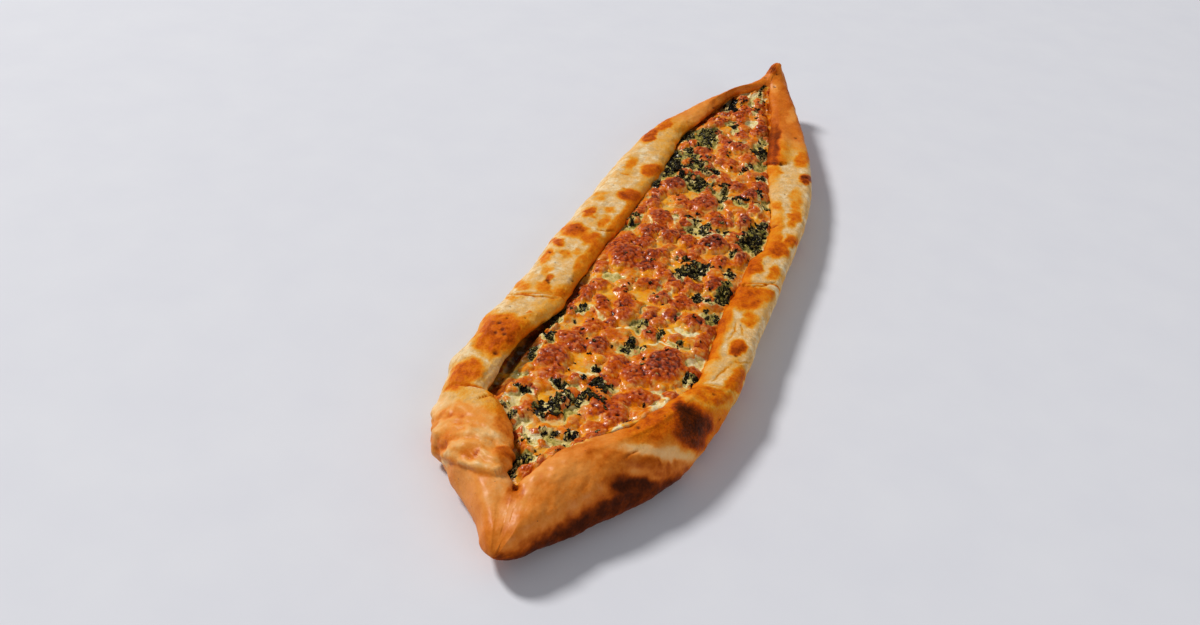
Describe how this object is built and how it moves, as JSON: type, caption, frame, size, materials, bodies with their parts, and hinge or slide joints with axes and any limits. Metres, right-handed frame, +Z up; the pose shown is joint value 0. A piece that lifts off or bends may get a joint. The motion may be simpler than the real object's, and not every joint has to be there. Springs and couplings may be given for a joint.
{
  "type": "spinach pide",
  "caption": "Boat-shaped flatbread with a folded-in rim and pinched ends, filled with baked cheese and wilted spinach.",
  "frame": {"origin": "middle of the bread's bounding box, on the surface that the bread lies on", "axes": "+Y along the bread from the low pinched end to the raised pinched end, +X across it towards the side with the tall fold at the low end, +Z up"},
  "size_m": [0.1059, 0.3787, 0.0299],
  "materials": {
    "baked_dough": "dry baked crust, pale with toasted brown spots",
    "baked_cheese": "melted and browned cheese, slightly oily",
    "spinach": "wilted leaf, moist"
  },
  "bodies": {
    "root": {"dough_crust": "baked_dough", "spinach_cheese_filling": "baked_cheese", "spinach_leaf_1": "spinach", "spinach_leaf_2": "spinach", "spinach_leaf_3": "spinach", "spinach_leaf_4": "spinach", "spinach_leaf_5": "spinach", "spinach_leaf_6": "spinach", "spinach_leaf_7": "spinach", "spinach_leaf_8": "spinach"}
  },
  "joints": []
}
